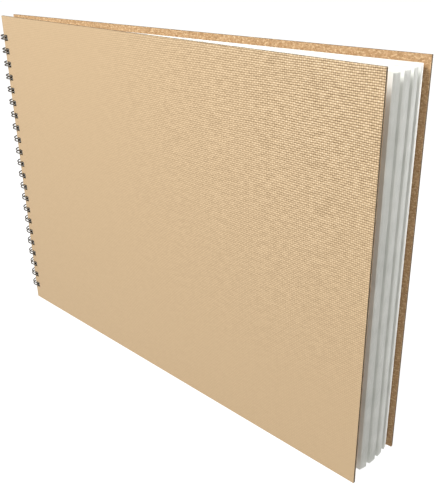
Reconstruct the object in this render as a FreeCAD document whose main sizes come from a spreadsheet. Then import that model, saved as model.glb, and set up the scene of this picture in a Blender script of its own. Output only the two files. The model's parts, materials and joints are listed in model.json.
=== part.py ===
"""Wire-bound A3 sketchbook, landscape, standing upright on the lower edges of its two covers.

Frame: +Z up, +X from the spine to the fore edge, +Y from the front cover to the back cover.
The origin is on the floor, in the middle of the bounding box. Everything turns about one
upright line, the axis of the wire's rings. The back cover lies along X; the leaves and the
front cover are fanned open from it about that line. Lengths are in millimetres, angles in
degrees.
"""
import FreeCAD, Part
import Sketcher
import math
import os

Vector = FreeCAD.Vector
UP = Vector(0, 0, 1)

DRIVING = {
    "leaf_width": 425.0,          # A3 paper with 5 mm more at the punched edge
    "leaf_height": 297.0,
    "leaf_thickness": 0.2,        # 150 gsm cartridge paper
    "leaf_count": 35,
    "leaf_gap": 0.116,            # air between neighbouring sheets when the book is shut
    "board_thickness": 1.6,       # greyboard core of each cover
    "facing_thickness": 0.2,      # paper glued outside
    "liner_thickness": 0.2,       # paper glued inside
    "fore_overhang": 5.0,         # cover wider than a leaf
    "head_overhang": 5.2,         # cover above the leaves
    "foot_overhang": 0.8,         # cover below the leaves, which keeps them off the floor
    "loop_pitch": 12.7,           # 2:1 wire binding, two double loops to the inch
    "end_margin": 12.0,           # least leaf left beyond the first and last loop
    "wire_diameter": 1.2,
    "loop_width": 2.8,            # between the two strands of a double loop
    "ring_clearance": 0.6,        # between the shut book's outer faces and the wire
    "hole_clearance": 0.2,        # wire to the nearest edge of a cover's hole
    "hole_play": 0.8,             # wire to hole, above and below
    "flat_open_gap": 2.4,         # between the two covers' spine edges when opened flat
    "leaf_slide": 1.0,            # how far the leaves have slid out towards the spine on the wire
    "link_bend": 1.6,             # bend radius between a strand and the link
    "link_angle": 87.0,           # where the links run, counted round the ring from +X
    "seam_gap": 0.25,             # between the loops' tips and the links
    "cover_angle": 5.5,           # front cover from the back cover, as it stands
    "first_leaf_angle": 3.85,     # leaf 1, next to the front cover
    "last_leaf_angle": 0.2,       # last leaf, next to the back cover
    "leaves_per_clump": 9,        # leaves that lie close together in the fan
    "clump_share": 0.4,           # share of the fan that opens between the clumps
}

DERIVED = {
    "cover_thickness": "Sizes.board_thickness + Sizes.facing_thickness + Sizes.liner_thickness",
    "cover_width": "Sizes.leaf_width + Sizes.fore_overhang",
    "cover_height": "Sizes.leaf_height + Sizes.head_overhang + Sizes.foot_overhang",
    "sheet_pitch": "Sizes.leaf_thickness + Sizes.leaf_gap",
    "half_block": "(Sizes.leaf_count * Layout.sheet_pitch + Sizes.leaf_gap) / 2",
    "half_book": "Layout.half_block + Layout.cover_thickness",
    "wire_radius": "Sizes.wire_diameter / 2",
    "ring_inside": "Layout.half_book + Sizes.ring_clearance",
    "ring_radius": "Layout.ring_inside + Layout.wire_radius",
    "ring_outside": "Layout.ring_radius + Layout.wire_radius",
    # The ring slants through a cover: the hole's near edge is set where the wire meets the
    # outer face, and its far edge where the wire meets the inner face.
    "near_reach": "Layout.ring_inside - Sizes.hole_clearance",
    "far_reach": "Layout.ring_outside + Sizes.hole_clearance",
    "hole_near": "sqrt(Layout.near_reach ^ 2 - Layout.half_book ^ 2)",
    "hole_far": "sqrt(Layout.far_reach ^ 2 - Layout.half_block ^ 2)",
    "hole_length": "Layout.hole_far - Layout.hole_near",
    "hole_height": "Sizes.loop_width + Sizes.wire_diameter + 2 * Sizes.hole_play",
    "hole_setback": "(Layout.hole_near + Layout.hole_far - Sizes.flat_open_gap) / 2",
    "loop_count": "floor((Sizes.leaf_height - 2 * Sizes.end_margin) / Sizes.loop_pitch) + 1",
    "row_length": "(Layout.loop_count - 1) * Sizes.loop_pitch",
    "first_loop": "Sizes.foot_overhang + (Sizes.leaf_height - Layout.row_length) / 2",
}


def make_sheet(doc):
    """Put the driving dimensions in a spreadsheet and the sizes worked out from them beside it."""
    sheet = doc.addObject("Spreadsheet::Sheet", "Sizes")
    for row, (name, value) in enumerate(DRIVING.items(), start=1):
        sheet.set(f"A{row}", name)
        sheet.set(f"B{row}", str(value))
        sheet.setAlias(f"B{row}", name)
    doc.recompute()
    layout = doc.addObject("App::VarSet", "Layout")
    for name, formula in DERIVED.items():
        layout.addProperty("App::PropertyFloat", name, "Layout")
        layout.setExpression(name, formula)
    doc.recompute()
    return sheet, layout


def origin_plane(body, role):
    """The body's own origin plane of that role."""
    return next(plane for plane in body.Origin.OriginFeatures if plane.Role == role)


def rectangle(body, name, left, low, width, height):
    """A sketched rectangle on the body's XZ plane, its four sizes bound to expressions."""
    sketch = body.newObject("Sketcher::SketchObject", name)
    sketch.AttachmentSupport = [(origin_plane(body, "XZ_Plane"), "")]
    sketch.MapMode = "FlatFace"
    corners = [Vector(1, 1, 0), Vector(2, 1, 0), Vector(2, 2, 0), Vector(1, 2, 0)]
    for start, end in zip(corners, corners[1:] + corners[:1]):
        sketch.addGeometry(Part.LineSegment(start, end))
    for side in range(4):
        sketch.addConstraint(Sketcher.Constraint("Coincident", side, 2, (side + 1) % 4, 1))
    for side in (0, 2):
        sketch.addConstraint(Sketcher.Constraint("Horizontal", side))
    for side in (1, 3):
        sketch.addConstraint(Sketcher.Constraint("Vertical", side))
    origin, bottom, right = -1, 0, 1
    driven = (
        ("DistanceX", (origin, 1, bottom, 1), left),
        ("DistanceY", (origin, 1, bottom, 1), low),
        ("DistanceX", (bottom, 1, bottom, 2), width),
        ("DistanceY", (right, 1, right, 2), height),
    )
    for kind, points, formula in driven:
        index = sketch.addConstraint(Sketcher.Constraint(kind, *points, 1.0))
        sketch.setExpression(f"Constraints[{index}]", formula)
    return sketch


def punched_sheet(doc, label, size):
    """A flat sheet with the row of binding holes along its spine edge.

    In its own frame the spine edge is at x = 0, the middle of the thickness at y = 0 and the
    lower edge at z = 0. size gives the expressions of width, height, thickness and the height
    of the lowest hole's middle.
    """
    width, height, thickness, first_hole = size
    body = doc.addObject("PartDesign::Body", label)
    body.Label = label
    outline = rectangle(body, f"{label}_outline", "0", "0", width, height)
    pad = body.newObject("PartDesign::Pad", f"{label}_pad")
    pad.Profile = outline
    pad.SideType = "Symmetric"
    pad.setExpression("Length", thickness)
    punch = rectangle(
        body, f"{label}_punch",
        "Layout.hole_setback - Layout.hole_length / 2",
        f"{first_hole} - Layout.hole_height / 2",
        "Layout.hole_length", "Layout.hole_height",
    )
    pocket = body.newObject("PartDesign::Pocket", f"{label}_hole")
    pocket.Profile = punch
    pocket.SideType = "Symmetric"
    pocket.setExpression("Length", f"2 * ({thickness})")
    row = body.newObject("PartDesign::LinearPattern", f"{label}_holes")
    row.Originals = [pocket]
    row.Direction = (punch, ["V_Axis"])
    row.Mode = "Extent"
    row.setExpression("Length", "Layout.row_length")
    row.setExpression("Occurrences", "Layout.loop_count")
    body.Tip = row
    return body


def turned(spine_x, offset, angle, height):
    """Placement of a sheet that lay at (spine_x, offset) when shut, opened by angle about the axis."""
    opening = FreeCAD.Rotation(UP, -angle)
    return FreeCAD.Placement(opening.multVec(Vector(spine_x, offset, 0)) + UP * height, opening)


def cover(doc, sizes, layout, side):
    """One cover: a board core with a paper facing and a paper liner, cut flush.

    side is -1 for the front cover and +1 for the back cover.
    """
    name = "front_cover" if side < 0 else "back_cover"
    angle = sizes.cover_angle if side < 0 else 0.0
    layers = ("liner", "board", "facing")
    bodies = []
    inner = layout.half_block
    for layer in layers:
        thickness = getattr(sizes, f"{layer}_thickness")
        size = ("Layout.cover_width", "Layout.cover_height",
                f"Sizes.{layer}_thickness", "Layout.first_loop")
        body = punched_sheet(doc, f"{name}_{layer}", size)
        offset = side * (inner + thickness / 2)
        body.Placement = turned(sizes.flat_open_gap / 2, offset, angle, 0)
        inner += thickness
        bodies.append(body)
    return bodies


def leaf_angle(sizes, number):
    """Angle of a leaf from the back cover: even small steps, and a wider one between clumps."""
    behind = int(sizes.leaf_count) - number
    even = behind / (sizes.leaf_count - 1)
    clumps = math.ceil(sizes.leaf_count / sizes.leaves_per_clump)
    stepped = (behind // int(sizes.leaves_per_clump)) / (clumps - 1)
    spread = (1 - sizes.clump_share) * even + sizes.clump_share * stepped
    return sizes.last_leaf_angle + (sizes.first_leaf_angle - sizes.last_leaf_angle) * spread


def leaf(doc, sizes, layout, number):
    """One leaf, whose holes follow the ring, so that the shut block has a rounded spine."""
    size = ("Sizes.leaf_width", "Sizes.leaf_height", "Sizes.leaf_thickness",
            "Layout.first_loop - Sizes.foot_overhang")
    body = punched_sheet(doc, f"leaf_{number:02d}", size)
    offset = layout.sheet_pitch * (number - 0.5) + sizes.leaf_gap / 2 - layout.half_block
    hole_x = math.sqrt(layout.ring_radius ** 2 - offset ** 2)
    spine_x = hole_x - layout.hole_setback - sizes.leaf_slide
    body.Placement = turned(spine_x, offset, leaf_angle(sizes, number), sizes.foot_overhang)
    return body


def ring_frame(layout, angle):
    """Point on the ring at that angle, and the direction round the ring there."""
    outward = Vector(math.cos(math.radians(angle)), math.sin(math.radians(angle)), 0)
    return outward * layout.ring_radius, UP.cross(outward)


def wire_path(sizes, layout):
    """The wire's centre line: strands round the ring, joined by tips, bends and straight links.

    Each double loop starts at its root, goes round the ring to its tip, turns back there in a
    half circle and returns to its root. A quarter bend, a link and a quarter bend lead to the
    next loop.
    """
    bend = sizes.link_bend
    half_width = sizes.loop_width / 2
    root = sizes.link_angle + math.degrees(math.atan2(bend, layout.ring_radius))
    tip_reach = half_width + sizes.seam_gap + sizes.wire_diameter
    tip = 360 + sizes.link_angle - math.degrees(tip_reach / layout.ring_radius)
    root_point, root_along = ring_frame(layout, root)
    middle_point, _ = ring_frame(layout, (root + tip) / 2)
    tip_point, tip_along = ring_frame(layout, tip)
    slant = math.sqrt(0.5)
    edges = []
    for number in range(int(layout.loop_count)):
        middle = layout.first_loop + number * sizes.loop_pitch
        lower = UP * (middle - half_width)
        upper = UP * (middle + half_width)
        if number:
            link_top = root_point - root_along * bend + lower - UP * bend
            bend_middle = root_point - root_along * bend * slant + lower - UP * bend * (1 - slant)
            edges.append(Part.LineSegment(link_start, link_top).toShape())
            edges.append(Part.Arc(link_top, bend_middle, root_point + lower).toShape())
        edges.append(Part.Arc(root_point + lower, middle_point + lower, tip_point + lower).toShape())
        turn = tip_point + tip_along * half_width + UP * middle
        edges.append(Part.Arc(tip_point + lower, turn, tip_point + upper).toShape())
        edges.append(Part.Arc(tip_point + upper, middle_point + upper, root_point + upper).toShape())
        if number < layout.loop_count - 1:
            bend_middle = root_point - root_along * bend * slant + upper + UP * bend * (1 - slant)
            link_start = root_point - root_along * bend + upper + UP * bend
            edges.append(Part.Arc(root_point + upper, bend_middle, link_start).toShape())
    return Part.Wire(edges), root_point + UP * (layout.first_loop - half_width), root_along


def binding_wire(doc, sizes, layout):
    """The continuous twin-loop wire: a round section swept along its centre line."""
    centre_line, start, along = wire_path(sizes, layout)
    path = doc.addObject("Part::Feature", "wire_path")
    path.Shape = centre_line
    section = doc.addObject("Part::Circle", "wire_section")
    section.setExpression("Radius", "Layout.wire_radius")
    section.Placement = FreeCAD.Placement(start, FreeCAD.Rotation(UP, along))
    wire = doc.addObject("Part::Sweep", "binding_wire")
    wire.Label = "binding_wire"
    wire.Sections = [section]
    wire.Spine = (path, [f"Edge{n + 1}" for n in range(len(centre_line.Edges))])
    wire.Solid = True
    wire.Frenet = False
    doc.recompute()
    expected = math.pi * layout.wire_radius ** 2 * centre_line.Length
    if abs(wire.Shape.Volume / expected - 1) > 0.002:
        raise RuntimeError(f"the wire's volume is {wire.Shape.Volume}, not {expected}")
    return wire


def centre_on_floor(doc, parts):
    """Move every part so that the whole book's box is centred on the origin, standing on z = 0."""
    box = FreeCAD.BoundBox()
    for part in parts:
        box.add(part.Shape.optimalBoundingBox(False))
    shift = Vector(-(box.XMin + box.XMax) / 2, -(box.YMin + box.YMax) / 2, -box.ZMin)
    for part in parts:
        part.Placement.Base = part.Placement.Base + shift
    doc.recompute()
    return shift


def check(doc, parts):
    """Stop if any object failed or any part isn't a sound solid."""
    for item in doc.Objects:
        if "Invalid" in item.State or "Error" in item.State:
            raise RuntimeError(f"{item.Name} failed: {item.State}")
    for part in parts:
        shape = part.Shape
        if shape.isNull() or not shape.isValid() or not shape.Solids:
            raise RuntimeError(f"{part.Label} has no sound solid")


def main():
    """Build the book, check it and write one STEP file for each part."""
    doc = FreeCAD.newDocument("sketchbook")
    sizes, layout = make_sheet(doc)
    parts = cover(doc, sizes, layout, -1) + cover(doc, sizes, layout, 1)
    parts += [leaf(doc, sizes, layout, number) for number in range(1, int(sizes.leaf_count) + 1)]
    parts.append(binding_wire(doc, sizes, layout))
    doc.recompute()
    shift = centre_on_floor(doc, parts)
    check(doc, parts)
    print("hinge axis at", [round(value, 4) for value in shift])
    print("loops", int(layout.loop_count), "ring radius", round(layout.ring_radius, 4))
    os.makedirs("parts", exist_ok=True)
    for part in parts:
        part.Shape.exportStep(f"parts/{part.Label}.step")


main()
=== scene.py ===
"""Looks of a wire-bound A3 sketchbook: embossed kraft covers, greyboard cores, fanned cartridge
paper leaves and a black twin-loop wire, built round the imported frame.

Lengths are named in millimetres and turned to metres by MM. +Z is up, +X runs from the spine
to the fore edge and +Y from the front cover to the back cover.
"""

import json
import logging
import math
from dataclasses import dataclass, field, replace
from enum import Enum

import bmesh
import bpy
import numpy as np
from mathutils import Euler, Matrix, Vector

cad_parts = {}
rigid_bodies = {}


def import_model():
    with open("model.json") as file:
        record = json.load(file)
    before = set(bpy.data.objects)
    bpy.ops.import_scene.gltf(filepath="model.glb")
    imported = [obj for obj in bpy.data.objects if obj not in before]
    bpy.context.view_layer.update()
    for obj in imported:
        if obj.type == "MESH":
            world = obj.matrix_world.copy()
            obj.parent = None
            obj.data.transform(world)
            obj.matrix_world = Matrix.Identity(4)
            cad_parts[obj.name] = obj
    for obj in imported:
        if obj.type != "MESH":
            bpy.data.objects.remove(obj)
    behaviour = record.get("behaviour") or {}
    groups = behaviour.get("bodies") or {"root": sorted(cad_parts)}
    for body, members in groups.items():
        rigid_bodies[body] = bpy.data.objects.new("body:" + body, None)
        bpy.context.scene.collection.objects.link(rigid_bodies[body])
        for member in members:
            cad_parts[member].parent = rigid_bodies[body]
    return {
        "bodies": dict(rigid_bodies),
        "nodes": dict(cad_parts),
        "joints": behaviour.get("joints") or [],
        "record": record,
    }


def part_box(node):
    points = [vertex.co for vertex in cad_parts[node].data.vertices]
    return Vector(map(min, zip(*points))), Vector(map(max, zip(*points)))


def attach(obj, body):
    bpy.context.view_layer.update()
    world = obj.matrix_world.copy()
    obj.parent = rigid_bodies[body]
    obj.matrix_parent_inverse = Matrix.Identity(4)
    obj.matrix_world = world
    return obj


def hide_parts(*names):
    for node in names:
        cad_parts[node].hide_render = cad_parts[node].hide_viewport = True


MM = 0.001
LOG = logging.getLogger("sketchbook")

Socket = bpy.types.NodeSocket
Triple = tuple[float, float, float]
Colour = tuple[float, float, float, float]
Feed = Socket | float | Triple | Colour     # what an input takes: a link or a plain value


def linear(code: str) -> Colour:
    """Turn an sRGB hex colour into linear RGBA.

    A part p is divided by 12.92 up to 0.04045, and is ((p + 0.055) / 1.055) to the power of 2.4
    above it.

    Args:
        code: six hex digits, such as "D8BC94".

    Returns:
        The linear red, green, blue and an alpha of 1.
    """
    parts = [int(code[i:i + 2], 16) / 255 for i in (0, 2, 4)]
    red, green, blue = (
        p / 12.92 if p <= 0.04045 else ((p + 0.055) / 1.055) ** 2.4 for p in parts
    )
    return red, green, blue, 1.0


def add_node(tree: bpy.types.NodeTree, kind: str,
             inputs: tuple[Feed, ...] | dict[int | str, Feed] = (),
             out: int | str = 0, **settings: str) -> Socket:
    """Add a shader node, set its properties and fill or link its inputs.

    Args:
        tree: the node tree that gets the node.
        kind: the node's type name, without the "ShaderNode" that each starts with.
        inputs: what the inputs take, in their order from the first or by name or number. An
            output socket is linked, and anything else becomes the input's value.
        out: the name or number of the output that is wanted.
        settings: property name to value.

    Returns:
        That output of the new node.
    """
    node = tree.nodes.new(f"ShaderNode{kind}")
    for name, value in settings.items():
        setattr(node, name, value)
    feeds = inputs if isinstance(inputs, dict) else dict(enumerate(inputs))
    for name, value in feeds.items():
        if isinstance(value, Socket):
            tree.links.new(value, node.inputs[name])
        else:
            node.inputs[name].default_value = value
    return node.outputs[out]


def new_material(name: str, roughness: float, specular: float
                 ) -> tuple[bpy.types.Material, bpy.types.NodeTree, bpy.types.Node]:
    """Start a material with a Principled shader.

    Args:
        name: the finish's name.
        roughness: the surface's roughness.
        specular: the strength of its plain reflection, where 0.5 is a usual plastic's.

    Returns:
        The material, its node tree and its shader node.
    """
    material = bpy.data.materials.new(name)
    material.use_nodes = True
    shader = material.node_tree.nodes["Principled BSDF"]
    shader.inputs["Roughness"].default_value = roughness
    shader.inputs["Specular IOR Level"].default_value = specular
    return material, material.node_tree, shader


def layered(tree: bpy.types.NodeTree, ground: Colour, *layers: tuple[Socket, Colour]) -> Socket:
    """Lay colours over a ground colour, each where its mask says.

    Args:
        tree: the material's node tree.
        ground: the linear colour underneath.
        layers: a mask from 0 to 1 and a linear colour for each layer, the lowest first.

    Returns:
        The colour that they make together.
    """
    colour = ground
    for mask, tint in layers:
        # A Mix node's inputs 6 and 7 and its output 2 are the ones for colours.
        colour = add_node(tree, "Mix", {0: mask, 6: colour, 7: tint}, out=2, data_type="RGBA")
    return colour


def dress_shader(tree: bpy.types.NodeTree, shader: bpy.types.Node, colour: Socket,
                 height: Socket, relief_mm: float, strength: float) -> None:
    """Give a shader its colour and its relief.

    Args:
        tree: the material's node tree.
        shader: the Principled shader.
        colour: the surface's colour.
        height: the relief's height, from 0 to 1.
        relief_mm: how far 1 stands above 0.
        strength: how much of the relief shows.
    """
    relief = add_node(tree, "Bump", {
        "Strength": strength, "Distance": relief_mm * MM, "Height": height})
    tree.links.new(colour, shader.inputs["Base Color"])
    tree.links.new(relief, shader.inputs["Normal"])


@dataclass(frozen=True)
class Blots:
    """Soft-edged blots of noise, of a real size, on a piece's own coordinates."""

    size_mm: float
    detail: float = 2.0
    stretch: Triple = (1.0, 1.0, 1.0)               # above 1, longer along that axis
    limits: tuple[float, float] = (0.35, 0.65)      # noise where a blot starts and is full
    values: tuple[float, float] = (0.0, 1.0)        # what the pattern says off and on a blot
    roughness: float = 0.55                         # how strongly the finer detail shows

    def noise(self, tree: bpy.types.NodeTree, place: Socket) -> Socket:
        """Plain noise from 0 to 1, mostly near 0.5.

        Args:
            tree: the material's node tree.
            place: the piece's own coordinates.

        Returns:
            The noise.
        """
        scale = tuple(1 / (self.size_mm * MM * share) for share in self.stretch)
        mapped = add_node(tree, "Mapping", {"Vector": place, "Scale": scale})
        return add_node(tree, "TexNoise", {
            "Vector": mapped, "Scale": 1.0, "Detail": self.detail, "Roughness": self.roughness})

    def mask(self, tree: bpy.types.NodeTree, place: Socket) -> Socket:
        """The noise, stretched from the limits to the values and held at both ends."""
        return add_node(tree, "MapRange", (self.noise(tree, place), *self.limits, *self.values))


@dataclass(frozen=True)
class LinenKraft:
    """Kraft paper embossed between rollers with a linen weave: matt, with raised threads that
    catch the light in rows and darker hollows between them. The hollows' darkness is painted
    shade, and the highest crossings carry a painted highlight."""

    name: str = "linen_embossed_kraft"
    crown: str = "CDB28D"       # the threads' tops
    painted_highlight: str = "E4D3B6"       # painted highlight on the highest crossings
    hollow_shade: str = "654D2E"      # painted shade between the threads
    fleck: str = "8A6A42"       # stray dark fibres
    roughness: float = 0.62
    specular: float = 0.32
    relief_mm: float = 0.22
    relief_strength: float = 1.0
    thread_mm: float = 1.55     # from one thread's middle to the next one's
    row_share: float = 0.60     # parts of the height that rows, columns and crossings give
    column_share: float = 0.24
    crossing_share: float = 0.13
    middle_height: float = 0.535
    crown_heights: tuple[float, float] = (0.1, 0.75)
    painted_highlight_heights: tuple[float, float] = (0.74, 1.1)
    # How far the threads wander and waver, in radians of their waves. Both go on for longer
    # along a thread than across it.
    along_share: float = 3.0
    drift: Blots = Blots(30.0, 1.0, limits=(0.0, 1.0), values=(-3.0, 3.0))
    waver: Blots = Blots(4.5, 1.0, limits=(0.0, 1.0), values=(-0.8, 0.8))
    # Thick and thin stretches of the rows, as high as a thread.
    slub: Blots = Blots(1.55, 0.0, (3.0, 3.0, 1.0), (0.3, 0.7), (-0.08, 0.08))
    # Such flecks are typically under 0.5 mm, too fine to show, so they are drawn at 1.2 mm.
    flecks: Blots = Blots(1.2, 2.0, limits=(0.60, 0.75), values=(0.0, 0.12))
    # The relief, and the painted shade and highlight that follow it, are strongest at the fore
    # edge and head and fade from there.
    relief_and_shade_x_mm: tuple[float, float] = (-70.0, 170.0)
    relief_and_shade_z_mm: tuple[float, float] = (60.0, 250.0)
    least_relief_and_shade: float = 0.11

    def weave(self, tree: bpy.types.NodeTree, place: Socket) -> Socket:
        """Height of the embossing from 0 to 1.

        Rows and columns of threads are |sin| waves; the product of the two sines, which is
        positive and negative by turns like a draughtboard, lifts each thread where it passes
        over its neighbour. The threads wander a little and swell and thin along their length.
        Away from the fore edge and head the height is drawn in towards its middle, which also
        weakens the painted shade and highlight that follow it.

        Args:
            tree: the material's node tree.
            place: the piece's own coordinates.

        Returns:
            The height.
        """
        x, _, z = add_node(tree, "SeparateXYZ", (place,)).node.outputs
        turns = math.pi / (self.thread_mm * MM)
        far = self.along_share
        waves = []
        for across, stretch in ((x, (1.0, 1.0, far)), (z, (far, far, 1.0))):
            wander = add_node(tree, "Math", tuple(
                replace(blots, stretch=stretch).mask(tree, place)
                for blots in (self.drift, self.waver)), operation="ADD")
            phase = add_node(tree, "Math", (across, turns, wander), operation="MULTIPLY_ADD")
            waves.append(add_node(tree, "Math", (phase,), operation="SINE"))
        column, row = waves
        threads = [add_node(tree, "Math", (wave,), operation="ABSOLUTE") for wave in (row, column)]
        threads.append(add_node(tree, "Math", (column, row), operation="MULTIPLY"))
        height = self.slub.mask(tree, place)
        shares = (self.row_share, self.column_share, self.crossing_share)
        for wave, share in zip(threads, shares):
            height = add_node(tree, "Math", (wave, share, height), operation="MULTIPLY_ADD")
        flat = add_node(tree, "Math", (height, self.middle_height), operation="SUBTRACT")
        return add_node(tree, "Math", (flat, self.relief_and_shade(tree, x, z), self.middle_height),
                        operation="MULTIPLY_ADD")

    def relief_and_shade(self, tree: bpy.types.NodeTree, x: Socket, z: Socket) -> Socket:
        """How strongly the relief and its painted shade and highlight show, from the least share
        to 1.

        It is the product of two ramps: one across to the fore edge and one up to the head.

        Args:
            tree: the material's node tree.
            x: the place from spine to fore edge.
            z: the place from foot to head.

        Returns:
            The share of the relief, and of its painted shade and highlight, that shows.
        """
        across, upward = (
            add_node(tree, "MapRange", (place, *(edge * MM for edge in edges)))
            for place, edges in ((x, self.relief_and_shade_x_mm), (z, self.relief_and_shade_z_mm))
        )
        both = add_node(tree, "Math", (across, upward), operation="MULTIPLY")
        return add_node(tree, "MapRange", (both, 0.0, 1.0, self.least_relief_and_shade, 1.0))

    def material(self) -> bpy.types.Material:
        """Build the material.

        Returns:
            The material.
        """
        material, tree, shader = new_material(self.name, self.roughness, self.specular)
        place = add_node(tree, "TexCoord", out="Object")
        height = self.weave(tree, place)
        # The darkest colour, in the hollows, is painted shade, and the palest, on the highest
        # crossings, is a painted highlight; both follow the weave's height.
        colour = layered(
            tree, linear(self.hollow_shade),
            (add_node(tree, "MapRange", (height, *self.crown_heights)), linear(self.crown)),
            (add_node(tree, "MapRange", (height, *self.painted_highlight_heights)), linear(self.painted_highlight)),
            (self.flecks.mask(tree, place), linear(self.fleck)))
        dress_shader(tree, shader, colour, height, self.relief_mm, self.relief_strength)
        return material


@dataclass(frozen=True)
class SmoothKraft:
    """Unbleached kraft liner, calendered smooth: mottled tan with darker and paler fibre specks."""

    name: str = "smooth_kraft_liner"
    ground: str = "B4916A"
    dark: str = "866135"
    pale: str = "DCC199"
    roughness: float = 0.7
    specular: float = 0.3
    relief_mm: float = 0.03
    relief_strength: float = 0.6
    # Such specks are typically under 0.5 mm, too fine to show, so they are drawn at 1.1 to
    # 2.2 mm.
    mottle: Blots = Blots(2.2, 3.0, limits=(0.40, 0.62), values=(0.0, 0.40))
    speck: Blots = Blots(1.4, 2.0, (1.6, 1.0, 1.0), (0.50, 0.64), (0.0, 0.6))
    chip: Blots = Blots(1.1, 1.0, limits=(0.60, 0.70), values=(0.0, 0.7))

    def material(self) -> bpy.types.Material:
        """Build the material.

        Returns:
            The material.
        """
        material, tree, shader = new_material(self.name, self.roughness, self.specular)
        place = add_node(tree, "TexCoord", out="Object")
        speck = self.speck.mask(tree, place)
        colour = layered(tree, linear(self.ground),
                         (self.mottle.mask(tree, place), linear(self.dark)),
                         (speck, linear(self.pale)),
                         (self.chip.mask(tree, place), linear(self.dark)))
        dress_shader(tree, shader, colour, speck, self.relief_mm, self.relief_strength)
        return material


@dataclass(frozen=True)
class Greyboard:
    """Recycled grey-brown board, guillotined: its cut edge shows pressed pulp layers."""

    name: str = "cut_greyboard"
    ground: str = "5A4F40"
    dark: str = "352D24"
    roughness: float = 0.9
    specular: float = 0.2
    relief_mm: float = 0.08
    relief_strength: float = 0.7
    # Pulp layers are typically finer than 0.2 mm, so they are drawn at 0.35 mm.
    layers: Blots = Blots(0.35, 3.0, (14.0, 1.0, 14.0))

    def material(self) -> bpy.types.Material:
        """Build the material.

        Returns:
            The material.
        """
        material, tree, shader = new_material(self.name, self.roughness, self.specular)
        layers = self.layers.mask(tree, add_node(tree, "TexCoord", out="Object"))
        colour = layered(tree, linear(self.dark), (layers, linear(self.ground)))
        dress_shader(tree, shader, colour, layers, self.relief_mm, self.relief_strength)
        return material


@dataclass(frozen=True)
class CartridgePaper:
    """Uncoated white cartridge paper: matt, slightly toothed, with faint clouds of pulp that
    keep a broad sheet from looking blank."""

    name: str = "white_cartridge_paper"
    sheet: str = "EDEDE8"
    shade: str = "DFE0DA"
    roughness: float = 0.85
    specular: float = 0.25
    relief_mm: float = 0.04
    relief_strength: float = 0.5
    # The tooth is typically about 0.3 mm, too fine to show, so it is drawn at 0.9 mm.
    tooth: Blots = Blots(0.9, 3.0)
    cloud: Blots = Blots(18.0, 3.0, limits=(0.35, 0.7))

    def material(self) -> bpy.types.Material:
        """Build the material.

        Returns:
            The material.
        """
        material, tree, shader = new_material(self.name, self.roughness, self.specular)
        place = add_node(tree, "TexCoord", out="Object")
        colour = layered(tree, linear(self.sheet),
                         (self.cloud.mask(tree, place), linear(self.shade)))
        dress_shader(tree, shader, colour, self.tooth.noise(tree, place), self.relief_mm,
                     self.relief_strength)
        return material


@dataclass(frozen=True)
class CutPaperEdge:
    """The guillotined rim of a leaf: the same white paper, with fibres drawn along the cut. Its
    tone paints the light and shade of the leaf's place in its clump.
    """

    tone: str
    name: str = "cut_paper_edge"
    roughness: float = 0.9
    specular: float = 0.2
    relief_mm: float = 0.03
    relief_strength: float = 0.5
    shade_share: float = 0.80       # how much of the tone's light a fibre's shade keeps
    # Paper fibres are typically under 0.1 mm across, too fine to show: drawn at 0.6 mm.
    fibres: Blots = Blots(0.6, 2.0, (1.0, 1.0, 24.0))
    wear: Blots = Blots(22.0, 2.0, (1.0, 1.0, 3.0), values=(0.5, 1.0))

    def material(self) -> bpy.types.Material:
        """Build the material.

        Returns:
            The material.
        """
        material, tree, shader = new_material(
            f"{self.name}_{self.tone}", self.roughness, self.specular)
        place = add_node(tree, "TexCoord", out="Object")
        drawn = add_node(tree, "Math", (self.fibres.mask(tree, place),
                                        self.wear.mask(tree, place)), operation="MULTIPLY")
        pale = linear(self.tone)
        shade = (*(self.shade_share * part for part in pale[:3]), 1.0)
        dress_shader(tree, shader, layered(tree, pale, (drawn, shade)), drawn,
                     self.relief_mm, self.relief_strength)
        return material


@dataclass(frozen=True)
class CoatedWire:
    """Steel binding wire in a black nylon coat: satin, with a soft highlight along each strand
    and paler scuffs, which are partly real wear and partly a painted highlight."""

    name: str = "black_nylon_coated_wire"
    coat: str = "3A3226"
    # pale worn grey: partly real wear, partly a painted highlight that lightens the dark wire
    worn_and_highlight: str = "8A8478"
    roughness: float = 0.38
    specular: float = 0.5
    relief_mm: float = 0.02
    relief_strength: float = 0.5
    # Scuffs are guessed, and finer ones wouldn't show, so they are drawn at 1.6 mm.
    scuff_and_highlight: Blots = Blots(1.6, 3.0, limits=(0.5, 0.75), values=(0.0, 0.7))

    def material(self) -> bpy.types.Material:
        """Build the material.

        Returns:
            The material.
        """
        material, tree, shader = new_material(self.name, self.roughness, self.specular)
        scuff_and_highlight = self.scuff_and_highlight.mask(tree, add_node(tree, "TexCoord", out="Object"))
        colour = layered(tree, linear(self.coat), (scuff_and_highlight, linear(self.worn_and_highlight)))
        dress_shader(tree, shader, colour, scuff_and_highlight, self.relief_mm, self.relief_strength)
        return material


@dataclass(frozen=True)
class WhiteFloor:
    """A matt white sheet lit a little from beneath, so that it looks white and shadowless."""

    name: str = "white_floor"
    paint: str = "6C6C6C"
    roughness: float = 0.9
    specular: float = 0.1
    glow_seen: float = 0.96     # how bright it looks
    glow_cast: float = 0.66     # how strongly it lights the book

    def material(self) -> bpy.types.Material:
        """Build the material.

        Returns:
            The material.
        """
        material, tree, shader = new_material(self.name, self.roughness, self.specular)
        shader.inputs["Base Color"].default_value = linear(self.paint)
        shader.inputs["Emission Color"].default_value = linear("FFFFFF")
        seen = add_node(tree, "LightPath", out="Is Camera Ray")
        glow = add_node(tree, "MapRange", (seen, 0.0, 1.0, self.glow_cast, self.glow_seen))
        tree.links.new(glow, shader.inputs["Emission Strength"])
        return material


class Side(Enum):
    """The two covers, by the name of their body."""

    FRONT = "front_cover"
    BACK = "back_cover"


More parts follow.
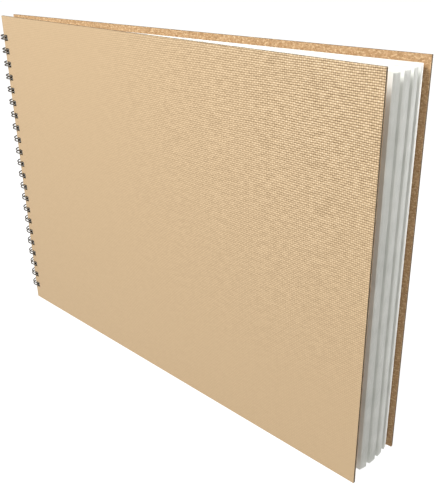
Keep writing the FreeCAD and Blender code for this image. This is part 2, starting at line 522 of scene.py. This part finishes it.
def show(name: str, points: np.ndarray, faces: np.ndarray, material: bpy.types.Material,
         smooth: bool = True) -> bpy.types.Object:
    """Make a mesh object from arrays.

    Args:
        name: the piece's name.
        points: an array of corner places, in metres.
        faces: an array of corner numbers, one row for each four-sided face.
        material: the finish.
        smooth: whether faces are shaded smooth.

    Returns:
        The object, linked to the scene at the origin.
    """
    mesh = bpy.data.meshes.new(name)
    mesh.vertices.add(len(points))
    mesh.vertices.foreach_set("co", np.ascontiguousarray(points, np.float32).ravel())
    mesh.loops.add(faces.size)
    mesh.loops.foreach_set("vertex_index", faces.astype(np.int32).ravel())
    mesh.polygons.add(len(faces))
    mesh.polygons.foreach_set("loop_start", np.arange(0, faces.size, 4, dtype=np.int32))
    mesh.polygons.foreach_set("use_smooth", np.full(len(faces), smooth))
    mesh.update(calc_edges=True)
    mesh.validate()
    mesh.materials.append(material)
    piece = bpy.data.objects.new(name, mesh)
    bpy.context.scene.collection.objects.link(piece)
    return piece


@dataclass
class Frame:
    """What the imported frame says: where the rings' axis is and how each body stands."""

    data: dict
    axis: Vector = field(init=False)

    def __post_init__(self) -> None:
        """Read the axis from any hinge: all of them share it."""
        self.axis = Vector(self.data["joints"][0]["pos_m"])

    def ratio(self, leaf: str) -> float:
        """How far a leaf turns for each degree that the front cover turns."""
        couplings = self.data["record"]["behaviour"]["couplings"]
        return next(c["ratio"] for c in couplings if c["joint"] == f"{leaf}_turn")

    def cover_opening(self) -> float:
        """The front cover's angle from the shut book at rest, in radians."""
        low = next(j["range_deg"][0] for j in self.data["joints"] if j["child"] == Side.FRONT.value)
        return math.radians(-low)

    def leaves(self) -> list[str]:
        """The names of the leaves, front to back."""
        return sorted(name for name in self.data["nodes"] if name.startswith("leaf_"))


@dataclass
class Covers:
    """Both covers: board core, embossed facing outside and smooth liner inside."""

    frame: Frame
    facing: LinenKraft = LinenKraft()
    liner: SmoothKraft = SmoothKraft()
    core: Greyboard = Greyboard()

    def dress(self) -> list[bpy.types.Object]:
        """Give each layer of each cover its finish.

        Returns:
            The layers' objects.
        """
        finishes = {
            "facing": self.facing.material(),
            "liner": self.liner.material(),
            "board": self.core.material(),
        }
        nodes = []
        for side in Side:
            for layer, material in finishes.items():
                node = self.frame.data["nodes"][f"{side.value}_{layer}"]
                node.data.materials.clear()
                node.data.materials.append(material)
                nodes.append(node)
        return nodes


@dataclass
class LeafBlock:
    """The drawing leaves: punched sheets, each a little bowed, fanned open on the wire."""

    frame: Frame
    paper: CartridgePaper = CartridgePaper()
    # The rims' tones are painted light and shade: a clump's rims go from dull, in the shade of its
    # neighbour, to bright and dull again.
    lit_and_shaded_rims: tuple[CutPaperEdge, ...] = tuple(CutPaperEdge(tone) for tone in (
        "D6D7D0", "DFDFDA", "E8E8E4", "EFEFEB", "F3F3EF", "EFEFEB", "E6E6E1", "DCDCD6", "D2D3CC"))
    thickness_mm: float = 0.2
    width_mm: float = 425.0
    hole_from_mm: float = 1.30      # spine edge to the holes' near edge
    hole_length_mm: float = 5.29
    hole_height_mm: float = 5.6
    pitch_mm: float = 12.7
    end_margin_mm: float = 12.0     # least from the sheet's foot or head to a hole's middle
    bow_mm: float = 0.8             # the middle leaf's bow at the fore edge, before the next two
    ends_more: float = 0.35         # how much more the foot and head bow, and less the middle
    middle_less: float = 0.2        # how much less again the middle of the height bows
    columns: int = 16

    def build(self) -> list[bpy.types.Object]:
        """Make every leaf and let it ride on its own body.

        Returns:
            The leaves, front to back.
        """
        material = self.paper.material()
        lit_and_shaded_rims = [rim.material() for rim in self.lit_and_shaded_rims]
        names = self.frame.leaves()
        pieces = []
        for index, name in enumerate(names):
            bow = self.bow_mm * math.sin(math.pi * (index + 0.5) / len(names))
            piece = self.leaf(name, bow, material)
            # Clumps are counted from the back cover, as the sheets fall.
            piece.data.materials.append(lit_and_shaded_rims[(len(names) - 1 - index) % len(lit_and_shaded_rims)])
            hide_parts(name)
            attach(piece, name)
            pieces.append(piece)
        return pieces

    def grid_lines(self, foot: float, head: float) -> tuple[np.ndarray, np.ndarray]:
        """Where a sheet's grid lines run: along the holes' edges, and evenly beyond them.

        Args:
            foot: the height of the sheet's lower edge, in millimetres.
            head: the height of its upper edge.

        Returns:
            The lines' distances from the spine edge, and their heights.
        """
        holes = int((head - foot - 2 * self.end_margin_mm) // self.pitch_mm) + 1
        middles = (foot + head) / 2 + (np.arange(holes) - (holes - 1) / 2) * self.pitch_mm
        half = self.hole_height_mm / 2
        edges = np.sort(np.concatenate([middles - half, middles + half]))
        hole_end = self.hole_from_mm + self.hole_length_mm
        beyond = np.linspace(hole_end, self.width_mm, self.columns)
        return (np.concatenate([[0, self.hole_from_mm], beyond]),
                np.concatenate([[foot], edges, [head]]))

    def leaf(self, name: str, bow: float, material: bpy.types.Material) -> bpy.types.Object:
        """One leaf as a grid with its holes left out, given its thickness by a Solidify modifier.

        Its middle surface leaves the flat sheet by bow * s^2 * (1 + ends_more * cos(2 pi t) -
        middle_less * sin(pi t)), where s runs from the spine to the fore edge and t from foot
        to head. The bow grows from nothing at the outer leaves to its full size in the middle
        as a half sine, so that neighbours stay apart.

        Args:
            name: the leaf's node, which is its body's name too.
            bow: the bow at the fore edge, in millimetres.
            material: the finish of its two faces.

        Returns:
            The leaf.
        """
        low, high = (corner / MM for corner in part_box(name))
        opening = self.frame.ratio(name) * self.frame.cover_opening()
        across, up = self.grid_lines(low.z, high.z)
        s, z = np.meshgrid(across, up, indexing="ij")
        t = (z - low.z) / (high.z - low.z)
        shape = 1 + self.ends_more * np.cos(2 * np.pi * t) - self.middle_less * np.sin(np.pi * t)
        off = bow * (s / self.width_mm) ** 2 * shape
        corner_x, corner_y = self.spine_corner(low, high, opening)
        x = corner_x + math.cos(opening) * s + math.sin(opening) * off
        y = corner_y - math.sin(opening) * s + math.cos(opening) * off
        number = np.arange(s.size).reshape(s.shape)
        keep = np.ones((len(across) - 1, len(up) - 1), bool)
        keep[1, 1::2] = False       # the holes, in the second column of cells
        faces = np.stack([number[:-1, :-1], number[1:, :-1], number[1:, 1:], number[:-1, 1:]],
                         axis=-1)[keep]
        points = np.stack([x, y, z], axis=-1).reshape(-1, 3) * MM
        # Flat shading keeps the cut rim crisp: the bow is too slight for facets to show.
        piece = show(name.replace("leaf", "drawing_leaf"), points, faces, material, smooth=False)
        solid = piece.modifiers.new("thickness", "SOLIDIFY")
        solid.thickness = self.thickness_mm * MM
        solid.offset = 0.0
        solid.material_offset_rim = 1
        return piece

    def spine_corner(self, low: Vector, high: Vector, opening: float) -> tuple[float, float]:
        """The middle of a leaf's spine edge, from the box of its flat sheet.

        The sheet slopes towards the front, so its spine edge is at the box's back; half of the
        thickness is taken off both ways.

        Args:
            low: the box's lowest corner, in millimetres.
            high: its highest corner.
            opening: the leaf's angle from the shut book, in radians.

        Returns:
            The x and y of the spine edge's middle.
        """
        half = self.thickness_mm / 2
        return low.x + half * math.sin(opening), high.y - half * math.cos(opening)


@dataclass
class TwinLoopWire:
    """The binding wire: one continuous strand bent into double loops joined by links."""

    frame: Frame
    finish: CoatedWire = CoatedWire()
    wire_mm: float = 1.2
    loop_width_mm: float = 2.8
    pitch_mm: float = 12.7
    bend_mm: float = 1.6            # radius of the bend from a strand into a link
    link_deg: float = 87.0          # where the links stand on the ring, from +X towards +Y
    seam_gap_mm: float = 0.25       # clear space between a loop's tip and the links
    sides: int = 12
    ring_steps: int = 64
    turn_steps: int = 12
    bend_steps: int = 6

    def build(self) -> bpy.types.Object:
        """Sweep the wire's round section along its centre line and let it ride on its body.

        Returns:
            The wire.
        """
        low, high = (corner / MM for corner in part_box("binding_wire"))
        axis = self.frame.axis / MM
        radius = axis.x - low.x - self.wire_mm / 2
        first = low.z + (self.wire_mm + self.loop_width_mm) / 2
        count = round((high.z - low.z - self.wire_mm - self.loop_width_mm) / self.pitch_mm) + 1
        line, out = self.centre_line(radius, first, count)
        points, faces = self.tube(line + np.array([axis.x, axis.y, 0.0]), out)
        piece = show("twin_loop_wire", points * MM, faces, self.finish.material())
        self.close_ends(piece)
        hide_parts("binding_wire")
        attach(piece, "binding_wire")
        return piece

    def centre_line(self, radius: float, first: float, count: int
                    ) -> tuple[np.ndarray, np.ndarray]:
        """The wire's centre line and the outward direction at each of its points.

        A strand is a circle of the ring's radius at a fixed height. A tip is a half circle in
        the plane that touches the ring at the strands' ends, and a root is a quarter circle in
        such a plane, which leads into an upright link.

        Args:
            radius: the rings' radius, in millimetres.
            first: the height of the lowest double loop's middle.
            count: the number of double loops.

        Returns:
            Two arrays of points and unit directions, one row for each step.
        """
        half, bend = self.loop_width_mm / 2, self.bend_mm
        root = math.radians(self.link_deg) + math.atan2(bend, radius)
        reach = half + self.seam_gap_mm + self.wire_mm
        tip = 2 * math.pi + math.radians(self.link_deg) - reach / radius
        angles = np.linspace(root, tip, self.ring_steps)
        level = np.zeros_like(angles)
        strand = np.stack([radius * np.cos(angles), radius * np.sin(angles), level], -1)
        strand_out = np.stack([np.cos(angles), np.sin(angles), level], -1)
        turn = np.linspace(-np.pi / 2, np.pi / 2, self.turn_steps)[1:-1]
        curl = np.linspace(0, np.pi / 2, self.bend_steps)[1:]
        tip_tangent = np.array([-math.sin(tip), math.cos(tip), 0])
        root_tangent = np.array([-math.sin(root), math.cos(root), 0])
        tip_arc = (strand[-1] + half * np.cos(turn)[:, None] * tip_tangent
                   + half * np.sin(turn)[:, None] * np.array([0, 0, 1]))
        away = -bend * np.sin(curl)[:, None] * root_tangent
        rise = bend * (1 - np.cos(curl))[:, None] * np.array([0, 0, 1])
        leaving = strand[0] + away + rise
        coming = (strand[0] + away - rise)[::-1]
        lines, outs = [], []
        for number in range(count):
            middle = np.array([0, 0, first + number * self.pitch_mm])
            lower, upper = middle - [0, 0, half], middle + [0, 0, half]
            if number:
                lines.append(coming + lower)
                outs.append(np.repeat(strand_out[:1], len(coming), 0))
            lines += [strand + lower, tip_arc + middle, strand[::-1] + upper]
            outs += [strand_out, np.repeat(strand_out[-1:], len(tip_arc), 0), strand_out[::-1]]
            if number < count - 1:
                lines.append(leaving + upper)
                outs.append(np.repeat(strand_out[:1], len(leaving), 0))
        return np.concatenate(lines), np.concatenate(outs)

    def tube(self, line: np.ndarray, out: np.ndarray) -> tuple[np.ndarray, np.ndarray]:
        """A round tube about a line.

        Each ring of the tube is centre + r (cos a * out + sin a * side), where side is the
        cross product of the line's direction and the outward direction.

        Args:
            line: the centre line's points, in millimetres.
            out: the outward direction at each of them.

        Returns:
            The tube's points and its four-sided faces.
        """
        heading = np.gradient(line, axis=0)
        heading /= np.linalg.norm(heading, axis=1, keepdims=True)
        side = np.cross(heading, out)
        side /= np.linalg.norm(side, axis=1, keepdims=True)
        out = np.cross(side, heading)
        turn = np.linspace(0, 2 * np.pi, self.sides, endpoint=False)
        ring = (np.cos(turn)[None, :, None] * out[:, None]
                + np.sin(turn)[None, :, None] * side[:, None])
        points = line[:, None] + self.wire_mm / 2 * ring
        number = np.arange(len(line) * self.sides).reshape(len(line), self.sides)
        beside = np.roll(number, -1, axis=1)
        faces = np.stack([number[:-1], beside[:-1], beside[1:], number[1:]], -1).reshape(-1, 4)
        return points.reshape(-1, 3), faces

    def close_ends(self, piece: bpy.types.Object) -> None:
        """Close the two cut ends of the wire and point every face outwards.

        Args:
            piece: the open tube.
        """
        work = bmesh.new()
        work.from_mesh(piece.data)
        bmesh.ops.holes_fill(work, edges=[e for e in work.edges if e.is_boundary], sides=0)
        bmesh.ops.recalc_face_normals(work, faces=work.faces)
        work.to_mesh(piece.data)
        work.free()


@dataclass(frozen=True)
class Lamp:
    """A square area light: its place and side in metres and its power in watts."""

    name: str
    place: Triple
    side: float
    watts: float

    def hang(self, target: Triple) -> None:
        """Put the light in its place, facing the target.

        Args:
            target: where it points, in metres.
        """
        light = bpy.data.lights.new(self.name, "AREA")
        light.shape, light.size, light.energy = "SQUARE", self.side, self.watts
        lamp = bpy.data.objects.new(self.name, light)
        lamp.location = self.place
        aim = Vector(target) - lamp.location
        lamp.rotation_euler = aim.to_track_quat("-Z", "Y").to_euler()
        bpy.context.scene.collection.objects.link(lamp)


@dataclass
class Studio:
    """A white floor, a soft surround that is brightest at the front left, lamps and the camera."""

    frame: Frame
    sheet: WhiteFloor = WhiteFloor()
    floor_edge: float = 6.0         # metres from the middle to each side
    camera_mm: Triple = (619.1, -427.2, 376.4)      # from the rings' axis
    camera_turn_deg: Triple = (65.975, 0.863, 39.665)
    lens_mm: float = 52.1
    sensor_mm: float = 36.0
    bright_side: Triple = (-0.62, -0.58, 0.53)
    bright_from: float = 0.1        # cosine of the angle from there at which the light starts
    dim: float = 0.02
    bright: float = 0.80
    book_middle: Triple = (0.0, 0.0, 0.15)
    lamps: tuple[Lamp, ...] = (
        Lamp("key", (-0.8, -1.05, 1.95), 0.7, 63.0),        # front left, above
        Lamp("crest", (-0.02, -0.5, 0.80), 0.25, 1.3),      # skims the threads near the head
        Lamp("fill", (2.20, -0.42, 0.40), 0.30, 16.0),      # on the leaves' fore edges
        Lamp("rake", (0.56, 0.03, 0.61), 0.15, 3.0),        # on the fore edges' upper ends
    )

    def build(self) -> None:
        """Set up the floor, world, lights and camera."""
        self.floor()
        self.world()
        for lamp in self.lamps:
            lamp.hang(self.book_middle)
        self.camera()

    def floor(self) -> None:
        """A plain square floor that reaches past the view."""
        corners = np.array([[-1, -1, 0], [1, -1, 0], [1, 1, 0], [-1, 1, 0]]) * self.floor_edge
        show("floor", corners, np.array([[0, 1, 2, 3]]), self.sheet.material(),
                      smooth=False)

    def world(self) -> None:
        """A white surround whose light falls off evenly away from the bright side.

        Its strength goes from dim to bright with the cosine of the angle between a direction
        and the bright side, and seen directly it is plain white.
        """
        world = bpy.data.worlds.new("studio")
        world.use_nodes = True
        tree = world.node_tree
        direction = add_node(tree, "TexCoord", out="Generated")
        facing = add_node(tree, "VectorMath", (direction, self.bright_side), out="Value",
                          operation="DOT_PRODUCT")
        level = add_node(tree, "MapRange", (facing, self.bright_from, 1.0, self.dim, self.bright))
        soft = add_node(tree, "Background", (linear("FFFFFF"), level))
        plain = tree.nodes["Background"]
        plain.inputs["Color"].default_value = linear("FFFFFF")
        seen = add_node(tree, "LightPath", out="Is Camera Ray")
        both = add_node(tree, "MixShader", (seen, soft, plain.outputs[0]))
        tree.links.new(both, tree.nodes["World Output"].inputs["Surface"])
        bpy.context.scene.world = world
        bpy.context.scene.view_settings.view_transform = "Standard"

    def camera(self) -> None:
        """The camera, placed from the rings' axis."""
        data = bpy.data.cameras.new("camera")
        data.sensor_width, data.lens = self.sensor_mm, self.lens_mm
        camera = bpy.data.objects.new("camera", data)
        camera.location = self.frame.axis + Vector(self.camera_mm) * MM
        camera.rotation_euler = Euler([math.radians(turn) for turn in self.camera_turn_deg])
        bpy.context.scene.collection.objects.link(camera)
        bpy.context.scene.camera = camera


def main() -> None:
    """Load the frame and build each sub-assembly round it."""
    logging.basicConfig(level=logging.INFO, format="%(name)s: %(message)s")
    frame = Frame(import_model())
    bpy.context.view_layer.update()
    for node in Covers(frame).dress():
        LOG.info("%s dressed in %s", node.name, node.data.materials[0].name)
    for piece in (*LeafBlock(frame).build(), TwinLoopWire(frame).build()):
        LOG.info("%s built with %d faces", piece.name, len(piece.data.polygons))
    Studio(frame).build()
    LOG.info("studio built")


if __name__ == "__main__":
    main()
